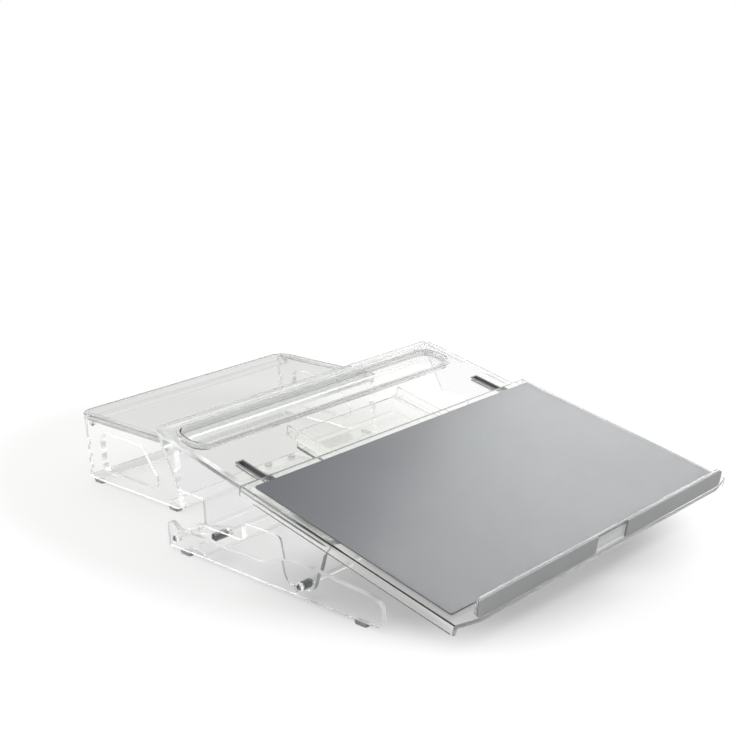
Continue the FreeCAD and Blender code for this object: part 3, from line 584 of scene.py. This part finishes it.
def make_channels():
    """Grey channel mouldings: a thin rim on the deck and a groove below it."""
    for side in ("left", "right"):
        node = "slot_channel_" + side
        low, high = extent(node, SLOPE)
        rim_low = Vector((low.x, low.y, high.z - CHANNEL_RIM))
        channel = add_block("grey_channel_" + side, rim_low, high)
        pick_faces(channel, lambda centre, normal: looks(normal, -UP))
        inset_picked(CHANNEL_RIM)
        extrude_picked((0, 0, low.z - rim_low.z))
        done()
        pick_faces(channel, lambda centre, normal: looks(normal, UP))
        inset_picked(CHANNEL_RIM + CHANNEL_WALL)
        extrude_picked((0, 0, low.z + CHANNEL_WALL - high.z))
        done()
        polish(channel, MOULDED_BREAK)
        settle(channel, SLOPE)
        dress(channel, CHANNEL)
        stand_for(channel, node)


def make_tray():
    """Formed pen tray: a rounded trough hanging by its flange."""
    low, high = extent("pen_tray", SLOPE)
    flange_low = Vector((low.x, low.y, high.z - TRAY_WALL / 2))
    tray = add_block("clear_pen_tray", flange_low, high)
    round_corners(tray, Z, TRAY_CORNER + TRAY_FLANGE, segments=12)
    pick_faces(tray, lambda centre, normal: looks(normal, -UP))
    inset_picked(TRAY_FLANGE)
    extrude_picked((0, 0, low.z - flange_low.z))
    done()
    pick_edges(tray, lambda middle, direction: middle.z < low.z + NEAR)
    round_picked(TRAY_HEEL, segments=5)
    pick_faces(tray, lambda centre, normal: looks(normal, UP) and centre.z > high.z - NEAR)
    inset_picked(TRAY_FLANGE + TRAY_WALL)
    extrude_picked((0, 0, low.z + TRAY_WALL - high.z))
    done()
    floor = low.z + TRAY_WALL
    pick_edges(tray, lambda middle, direction: abs(middle.z - floor) < NEAR)
    round_picked(TRAY_WALL, segments=4)
    polish(tray, MOULDED_BREAK)
    settle(tray, SLOPE)
    # the walls take the grey tint of painted shade
    dress_clear(tray, SLOPE_NORMAL, edge_finish=TRAY_WALL_PAINTED_SHADE)
    stand_for(tray, "pen_tray")


# ---------------------------------------------------------------- clear bars, plates and profiled sides
CLEAR_BARS = [
    # node, name, frame, direction square to its broad faces
    ("deck_rear_rib", "clear_rear_rib", SLOPE, UP_SLOPE),
    ("base_rail", "clear_base_rail", WORLD, UP),
    ("platform_rail_front", "clear_platform_rail_front", WORLD, UP),
    ("platform_rail_rear", "clear_platform_rail_rear", WORLD, UP),
]
PROFILED_SIDES = [
    # node, material of its faces
    # most sides take the darker copy of the clear sheet: painted shade
    ("deck_side_left", SIDE_SHEET_PAINTED_SHADE),
    ("deck_side_right", SIDE_SHEET_PAINTED_SHADE),
    ("base_side_left", SIDE_SHEET_PAINTED_SHADE),
    ("base_side_right", SIDE_SHEET_PAINTED_SHADE),
    ("platform_frame_left", SHEET),
    ("platform_frame_right", SHEET),
    ("prop_arm_left", SIDE_SHEET_PAINTED_SHADE),
    ("prop_arm_right", SIDE_SHEET_PAINTED_SHADE),
]


def make_bars():
    """The deck's rear rib and the rails of the base and the platform."""
    for node, name, space, broad_axis in CLEAR_BARS:
        bar = add_block(name, *extent(node, space))
        polish(bar, SHEET_BREAK)
        settle(bar, space)
        dress_clear(bar, broad_axis)
        stand_for(bar, node)


def paint_shade_on_leg_edges(side):
    """The front edge of a deck side, from its hook at the hinge up to the deck, takes the dark grey of
    painted shade.
    """
    hinge_low, hinge_high = extent("hinge_rod")
    hinge_middle = (hinge_low.y + hinge_high.y) / 2
    side.data.materials.append(LEG_EDGE_PAINTED_SHADE)
    for face in side.data.polygons:
        if face.normal.y < -SQUARE_TO and face.center.y < hinge_middle:
            face.material_index = PAINTED_SHADE_EDGE


def make_sides():
    """Profiled sheets of the deck, the base, the platform and the prop."""
    for node, face_sheet in PROFILED_SIDES:
        side = merged_copy(node, "clear_" + node)
        polish(side, SHEET_BREAK)
        dress_clear(side, ACROSS, face_sheet=face_sheet)
        # the legs' front edges get painted shade
        if node.startswith("deck_side"):
            paint_shade_on_leg_edges(side)
        stand_for(side, node)


PLATE_CORNER = 22 * MM
STRAP_CORNER = 8 * MM


def make_plates():
    """Monitor plate and the strap that links the platform to the base."""
    for node, name, corner in (("platform_plate", "clear_monitor_plate", PLATE_CORNER),
                               ("link_strap", "clear_link_strap", STRAP_CORNER)):
        plate = add_block(name, *extent(node))
        round_corners(plate, Z, corner, segments=10)
        polish(plate, SHEET_BREAK)
        dress_clear(plate, UP)
        stand_for(plate, node)


# ---------------------------------------------------------------- drawer
DRAWER_WALL = 2.5 * MM
DRAWER_FLANGE = 7 * MM
DRAWER_CORNER = 5 * MM
DRAWER_FLANGE_THICKNESS = 2.8 * MM


def make_drawer_tray():
    """Clear box with a flange on each side that slides on the runners."""
    low, high = extent("drawer_tray", SLOPE)
    inner_low = Vector((low.x + DRAWER_FLANGE, low.y, low.z))
    inner_high = Vector((high.x - DRAWER_FLANGE, high.y, high.z))
    tray = add_block("clear_drawer", inner_low, inner_high)
    round_corners(tray, Z, DRAWER_CORNER, test=lambda middle: middle.y > high.y - NEAR)
    pick_faces(tray, lambda centre, normal: looks(normal, UP))
    inset_picked(DRAWER_WALL)
    extrude_picked((0, 0, low.z + DRAWER_WALL - high.z))
    done()
    flange_bottom = high.z - DRAWER_FLANGE_THICKNESS
    flange_end = high.y - DRAWER_CORNER
    flanges = []
    for left, right in ((low.x, inner_low.x), (inner_high.x, high.x)):
        flanges.append(add_block("flange", (left, low.y, flange_bottom), (right, flange_end, high.z)))
    tray = join("clear_drawer", flanges + [tray])
    polish(tray, THIN_BREAK)
    settle(tray, SLOPE)
    dress(tray, SHEET)
    stand_for(tray, "drawer_tray")


def make_drawer_face():
    """Clear front plate of the drawer with rounded corners."""
    face = add_block("clear_drawer_face", *extent("drawer_face", SLOPE))
    round_corners(face, Y, DRAWER_CORNER)
    polish(face, THIN_BREAK)
    settle(face, SLOPE)
    dress_clear(face, UP_SLOPE)
    stand_for(face, "drawer_face")


KNOB_RIM = 2 * MM
KNOB_DISH_SLANT = 1 * MM
KNOB_DISH_DEPTH = 0.6 * MM
KNOB_ROUND = 0.8 * MM


def make_drawer_knob():
    """Round knob with a shallow dish in its front."""
    low, high = extent("drawer_pull", SLOPE)
    knob = add_round("drawer_knob", (low + high) / 2, (high.x - low.x) / 2, high.y - low.y, Y)
    pick_faces(knob, lambda centre, normal: looks(normal, -BACKWARDS))
    inset_picked(KNOB_RIM)
    inset_picked(KNOB_DISH_SLANT, -KNOB_DISH_DEPTH)
    done()
    polish(knob, KNOB_ROUND, segments=4)
    settle(knob, SLOPE)
    dress(knob, KNOB)
    stand_for(knob, "drawer_pull")


RUNNER_WALL = 3 * MM


def make_runners():
    """Angle runners: an upright web outside, and a ledge from its foot towards the drawer."""
    for side, inwards in (("left", ACROSS), ("right", -ACROSS)):
        node = "drawer_runner_" + side
        low, high = extent(node, SLOPE)
        web_low, web_high = low.copy(), high.copy()
        if side == "left":
            web_high.x = low.x + RUNNER_WALL
        else:
            web_low.x = high.x - RUNNER_WALL
        ledge_top = low.z + RUNNER_WALL
        runner = add_block("clear_runner_" + side, web_low, web_high)
        slice_piece(runner, (0, 0, ledge_top), UP)
        pick_faces(runner, lambda centre, normal: looks(normal, inwards) and centre.z < ledge_top)
        extrude_picked(inwards * (high.x - low.x - RUNNER_WALL))
        done()
        polish(runner, THIN_BREAK)
        settle(runner, SLOPE)
        dress_clear(runner, SLOPE_NORMAL, ACROSS)
        stand_for(runner, node)


# ---------------------------------------------------------------- rods, caps, feet and fastenings
def make_rods():
    """Clear rods across the stand: hinge, prop and platform."""
    for node in ("hinge_rod", "prop_pivot_rod", "prop_rod", "platform_rod_front", "platform_rod_rear"):
        low, high = extent(node)
        rod = add_round("clear_" + node, (low + high) / 2, (high.z - low.z) / 2, high.x - low.x, X)
        polish(rod, SOFT_BREAK)
        dress_clear(rod, UP, BACKWARDS)
        stand_for(rod, node)


COLLAR_FIT = 0.2 * MM
CUTTER_PAST = 1 * MM


def make_collars():
    """Rings round the rods, one on each side: grey washers at the hinge, clear spacers at the prop."""
    for node, rod_node, finish in (("hinge_washers", "hinge_rod", KNOB),
                                   ("prop_spacers", "prop_pivot_rod", SHEET)):
        bore_low, bore_high = extent(rod_node)
        bore = (bore_high.z - bore_low.z) / 2 + COLLAR_FIT
        low, high = extent(node)
        points = [vertex.co for vertex in NODES[node].data.vertices]
        collars = []
        for side in (-1, 1):
            ends = [point.x for point in points if point.x * side > 0]
            length = max(ends) - min(ends)
            middle = Vector(((min(ends) + max(ends)) / 2, (low.y + high.y) / 2, (low.z + high.z) / 2))
            collar = add_round("collar", middle, (high.z - low.z) / 2, length, X)
            cut(collar, add_round("bore", middle, bore, length + 2 * CUTTER_PAST, X))
            collars.append(collar)
        collars = join("turned_" + node, collars)
        polish(collars, THIN_BREAK)
        dress(collars, finish)
        stand_for(collars, node)


CAP_LENGTH = 5 * MM
CAP_RIM = 2.2 * MM
CAP_DISH_SLANT = 0.6 * MM
CAP_DISH_DEPTH = 0.6 * MM
CAP_ROUND = 1.2 * MM
CAP_BREAK = 0.15 * MM


def make_caps():
    """Clear caps on the rods' ends, with a domed rim and a shallow dish."""
    for node, name in (("hinge_rod_caps", "hinge_caps"), ("prop_pivot_caps", "pivot_caps")):
        low, high = extent(node)
        radius = (high.z - low.z) / 2
        caps = []
        for outwards, end in ((-ACROSS, low.x), (ACROSS, high.x)):
            rim = Vector((end, (low.y + high.y) / 2, (low.z + high.z) / 2))
            cap = add_round("cap", rim - outwards * CAP_LENGTH / 2, radius, CAP_LENGTH, X)
            pick_faces(cap, lambda centre, normal: looks(normal, outwards))
            inset_picked(CAP_RIM)
            inset_picked(CAP_DISH_SLANT, -CAP_DISH_DEPTH)
            done()
            pick_edges(cap, lambda middle, direction: abs(middle.x - end) < NEAR
                       and (middle - rim).length > radius - NEAR)
            round_picked(CAP_ROUND, segments=5)
            caps.append(cap)
        caps = join(name, caps)
        polish(caps, CAP_BREAK)
        dress(caps, SHEET)
        stand_for(caps, node)


FOOT_WIDTH = 10 * MM
FOOT_LENGTH = 18 * MM
FOOT_CORNER = 3 * MM
FOOT_TAPER = (0.86, 0.94, 1)


def make_feet():
    """Rubber feet, a little narrower where they meet the table."""
    for node, name in (("base_feet", "rubber_feet_base"), ("platform_feet", "rubber_feet_platform")):
        low, high = extent(node)
        feet = []
        for x in (low.x, high.x - FOOT_WIDTH):
            for y in (low.y, high.y - FOOT_LENGTH):
                foot = add_block("foot", (x, y, low.z), (x + FOOT_WIDTH, y + FOOT_LENGTH, high.z))
                round_corners(foot, Z, FOOT_CORNER, segments=5)
                pick_faces(foot, lambda centre, normal: looks(normal, -UP))
                bpy.ops.transform.resize(value=FOOT_TAPER)
                done()
                feet.append(foot)
        feet = join(name, feet)
        polish(feet, SHEET_BREAK)
        dress(feet, RUBBER)
        stand_for(feet, node)


SMALL_PARTS = [
    # node, name, material, edge break
    ("keel_left", "grey_keel_left", CHANNEL, SOFT_BREAK),
    ("keel_right", "grey_keel_right", CHANNEL, SOFT_BREAK),
    ("glide_pads", "white_glide_pads", GLIDE, SHEET_BREAK),
    ("prop_sleeves", "rubber_prop_sleeves", RUBBER, SOFT_BREAK),
]


def make_small_parts():
    """Keels, glide pads and sleeves, with their edges broken."""
    for node, name, material, edge_break in SMALL_PARTS:
        piece = merged_copy(node, name)
        polish(piece, edge_break, segments=3)
        dress(piece, material)
        stand_for(piece, node)


SCREW_RIM = 2.6 * MM
SCREW_RECESS_SLANT = 0.1 * MM
SCREW_RECESS_DEPTH = 1.2 * MM


def make_screws():
    """Steel screws of the strap: a low head with a round recess in each."""
    head_top = extent("link_screws")[1].z
    screws = merged_copy("link_screws", "steel_link_screws")
    pick_faces(screws, lambda centre, normal: looks(normal, UP) and centre.z > head_top - NEAR)
    inset_picked(SCREW_RIM)
    inset_picked(SCREW_RECESS_SLANT, -SCREW_RECESS_DEPTH)
    done()
    polish(screws, SHEET_BREAK, segments=3)
    dress(screws, STEEL)
    stand_for(screws, "link_screws")


# ---------------------------------------------------------------- camera, floor and light
EYE = Vector((-1.10246, -1.15257, 0.62889))
YAW, PITCH, ROLL = 0.81231, 0.24922, -0.04567
FRAME_SIDE = 736
FOCAL_PIXELS = 1359.5
VIEW_CENTRE = (427, 325)
SENSOR = 36.0
CLIP_END = 50


def make_camera():
    """View from in front and to the left of the stand, a little above it."""
    forward = Vector((math.sin(YAW) * math.cos(PITCH), math.cos(YAW) * math.cos(PITCH), -math.sin(PITCH)))
    level = forward.cross(UP).normalized()
    above = level.cross(forward)
    right = level * math.cos(ROLL) + above * math.sin(ROLL)
    top = above * math.cos(ROLL) - level * math.sin(ROLL)
    lens = bpy.data.cameras.new("camera")
    lens.sensor_width = SENSOR
    lens.lens = FOCAL_PIXELS / FRAME_SIDE * SENSOR
    lens.shift_x = 0.5 - VIEW_CENTRE[0] / FRAME_SIDE
    lens.shift_y = VIEW_CENTRE[1] / FRAME_SIDE - 0.5
    lens.clip_end = CLIP_END
    camera = bpy.data.objects.new("camera", lens)
    bpy.context.scene.collection.objects.link(camera)
    camera.matrix_world = Matrix.Translation(EYE) @ Matrix((right, top, -forward)).transposed().to_4x4()
    bpy.context.scene.camera = camera


FLOOR_SIZE = 24
FLOOR_COLOUR = (0.88, 0.88, 0.875, 1)
WHITE_STRENGTH = 1.05
# Painted shadow pool: inside this oval the floor gives less white light and reads greyer even where no
# shadow falls; the stand's real shadow shows in it as well.
SHADOW_POOL_CENTRE = (-0.03, 0.12, 0)
SHADOW_POOL_REACH = (0.27, 0.47, 1)
SHADOW_POOL_RIM, WHITE_RIM = 1.0, 1.35
WHITE_SHARE_IN_SHADOW_POOL = 0.4


def seen_directly(tree):
    """One for rays that show the surroundings: to the camera, in gloss or through clear sheet."""
    path = tree.nodes.new("ShaderNodeLightPath").outputs
    total = combine(tree, "MAXIMUM", path["Is Camera Ray"], path["Is Glossy Ray"])
    return combine(tree, "MAXIMUM", total, path["Is Transmission Ray"])


def distance_from_shadow_pool(tree):
    """Distance from the middle of the painted shadow pool under the stand, in shares of the pool's reach."""
    place = tree.nodes.new("ShaderNodeTexCoord")
    centred = add_node(tree, "ShaderNodeMapping", Location=SHADOW_POOL_CENTRE, Scale=SHADOW_POOL_REACH)
    centred.vector_type = "TEXTURE"
    tree.links.new(place.outputs["Object"], centred.inputs["Vector"])
    length = tree.nodes.new("ShaderNodeVectorMath")
    length.operation = "LENGTH"
    tree.links.new(centred.outputs["Vector"], length.inputs[0])
    return length.outputs["Value"]


def make_floor():
    """Pale table that keeps the stand's soft shadow; a painted shadow pool greys the oval round the stand,
    and the floor runs out to white.
    """
    bpy.ops.object.select_all(action="DESELECT")
    bpy.ops.mesh.primitive_plane_add(size=FLOOR_SIZE)
    floor = bpy.context.object
    floor.name = "floor"
    material = bpy.data.materials.new("pale_table")
    material.use_nodes = True
    tree = material.node_tree
    tree.nodes.clear()
    output = tree.nodes.new("ShaderNodeOutputMaterial")
    top = add_node(tree, "ShaderNodeBsdfDiffuse", Color=FLOOR_COLOUR)
    white = add_node(tree, "ShaderNodeEmission", Strength=WHITE_STRENGTH)
    # less white near the stand: painted shadow pool
    whiteness = soft_step(tree, distance_from_shadow_pool(tree), SHADOW_POOL_RIM, WHITE_RIM, low=WHITE_SHARE_IN_SHADOW_POOL)
    share = combine(tree, "MULTIPLY", whiteness, seen_directly(tree))
    surface = mix_shaders(tree, share, top.outputs["BSDF"], white.outputs["Emission"])
    tree.links.new(surface, output.inputs["Surface"])
    dress(floor, material)


ROOM_COLOUR = (1.0, 0.995, 0.985, 1)
ROOM_LIGHT = 0.32
LEFT_GLOSS, RIGHT_GLOSS = 0.86, 1.36
LEFT_PANEL_END, RIGHT_PANEL_START = 0.3, 0.75
GLOSS_COLOUR = (0.8, 0.8, 0.8, 1)
DARK_CARD_AZIMUTH, DARK_CARD_HEIGHT = math.radians(25), math.radians(30)
DARK_CARD_CORE, DARK_CARD_RIM = math.radians(20.5), math.radians(27)


def gloss_strength(tree):
    """What gloss sees: dimmer on the left, brighter on the right, and a round dark card behind."""
    direction = tree.nodes.new("ShaderNodeTexCoord").outputs["Generated"]
    split = tree.nodes.new("ShaderNodeSeparateXYZ")
    tree.links.new(direction, split.inputs["Vector"])
    panels = soft_step(tree, split.outputs["X"], LEFT_PANEL_END, RIGHT_PANEL_START, LEFT_GLOSS, RIGHT_GLOSS)
    card = tree.nodes.new("ShaderNodeVectorMath")
    card.operation = "DOT_PRODUCT"
    tree.links.new(direction, card.inputs[0])
    card.inputs[1].default_value = (math.sin(DARK_CARD_AZIMUTH) * math.cos(DARK_CARD_HEIGHT),
                                    math.cos(DARK_CARD_AZIMUTH) * math.cos(DARK_CARD_HEIGHT),
                                    math.sin(DARK_CARD_HEIGHT))
    past_card = soft_step(tree, card.outputs["Value"], math.cos(DARK_CARD_CORE), math.cos(DARK_CARD_RIM))
    return combine(tree, "MULTIPLY", panels, past_card)


def make_room():
    """Soft light from all round, white to look at, and a room of its own for gloss."""
    world = bpy.data.worlds.new("room")
    bpy.context.scene.world = world
    world.use_nodes = True
    tree = world.node_tree
    tree.nodes.clear()
    output = tree.nodes.new("ShaderNodeOutputWorld")
    soft = add_node(tree, "ShaderNodeBackground", Color=ROOM_COLOUR, Strength=ROOM_LIGHT)
    white = add_node(tree, "ShaderNodeBackground", Color=grey(1))
    gloss = add_node(tree, "ShaderNodeBackground", Color=GLOSS_COLOUR)
    tree.links.new(gloss_strength(tree), gloss.inputs["Strength"])
    path = tree.nodes.new("ShaderNodeLightPath").outputs
    looked_at = combine(tree, "MAXIMUM", path["Is Camera Ray"], path["Is Transmission Ray"])
    by_gloss = mix_shaders(tree, path["Is Glossy Ray"], soft.outputs[0], gloss.outputs[0])
    by_sight = mix_shaders(tree, looked_at, by_gloss, white.outputs[0])
    tree.links.new(by_sight, output.inputs["Surface"])


PANELS = [
    # name, place, the point it faces, size, watts
    ("overhead_panel", (-0.2, 0.5, 2.3), (0, 0, 0), 2.4, 45),
    ("right_panel", (2.6, 0.6, 1.9), (0, -0.1, 0.08), 1.6, 13.5),
]
LIGHT_BOUNCES = 32


def make_lights():
    """Square soft lamps, and enough bounces for the many layers of clear sheet."""
    for name, place, target, size, watts in PANELS:
        lamp = bpy.data.lights.new(name, "AREA")
        lamp.shape = "SQUARE"
        lamp.size = size
        lamp.energy = watts
        lamp.cycles.use_multiple_importance_sampling = False
        panel = bpy.data.objects.new(name, lamp)
        bpy.context.scene.collection.objects.link(panel)
        panel.location = place
        panel.rotation_euler = (Vector(target) - Vector(place)).to_track_quat("-Z", "Y").to_euler()
    cycles = bpy.context.scene.cycles
    cycles.caustics_refractive = False
    cycles.max_bounces = LIGHT_BOUNCES
    cycles.glossy_bounces = LIGHT_BOUNCES
    cycles.transmission_bounces = LIGHT_BOUNCES
    cycles.transparent_max_bounces = LIGHT_BOUNCES


make_pad()
make_board()
make_lip()
make_deck()
make_channels()
make_tray()
make_bars()
make_sides()
make_plates()
make_drawer_tray()
make_drawer_face()
make_drawer_knob()
make_runners()
make_rods()
make_collars()
make_caps()
make_feet()
make_small_parts()
make_screws()
make_camera()
make_floor()
make_room()
make_lights()

bpy.context.scene.view_settings.view_transform = "Standard"
